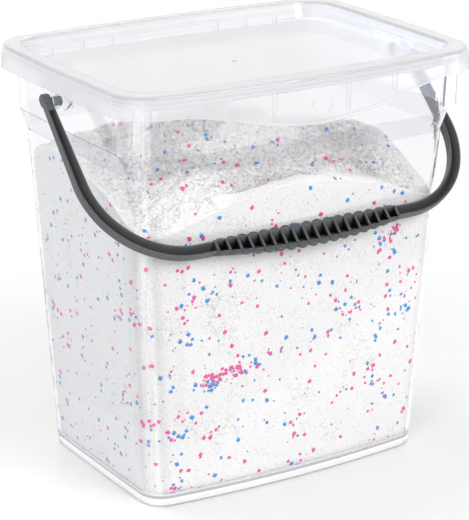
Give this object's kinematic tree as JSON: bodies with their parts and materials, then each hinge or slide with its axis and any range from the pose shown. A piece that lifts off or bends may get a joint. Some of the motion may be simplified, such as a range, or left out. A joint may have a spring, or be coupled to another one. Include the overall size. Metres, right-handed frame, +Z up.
{
  "type": "laundry detergent container",
  "caption": "Clear rectangular pail with a press-on lid and a swinging bail handle, part filled with washing powder.",
  "frame": {"origin": "centre of the foot, in the plane that the pail stands on", "axes": "+Z up; -Y is the wide front that carries the lid's flap; +X is to the right seen from the front"},
  "size_m": [0.2756, 0.1945, 0.27],
  "materials": {
    "tub": "clear, glossy",
    "lid": "milky, satin",
    "handle": "satin",
    "powder": "granular, matt"
  },
  "bodies": {
    "tub": {"tub": "tub", "powder": "powder"},
    "lid": {"lid": "lid"},
    "handle": {"handle": "handle"}
  },
  "joints": [
    {"name": "handle_swing", "type": "hinge", "parent": "tub", "child": "handle", "pos_m": [0, 0, 0.2501], "axis": [-1, 0, 0], "range_deg": [0, 264]},
    {"name": "lid_lift", "type": "slide", "parent": "tub", "child": "lid", "axis": [0, 0, 1], "range_m": [0, 0.06]}
  ]
}
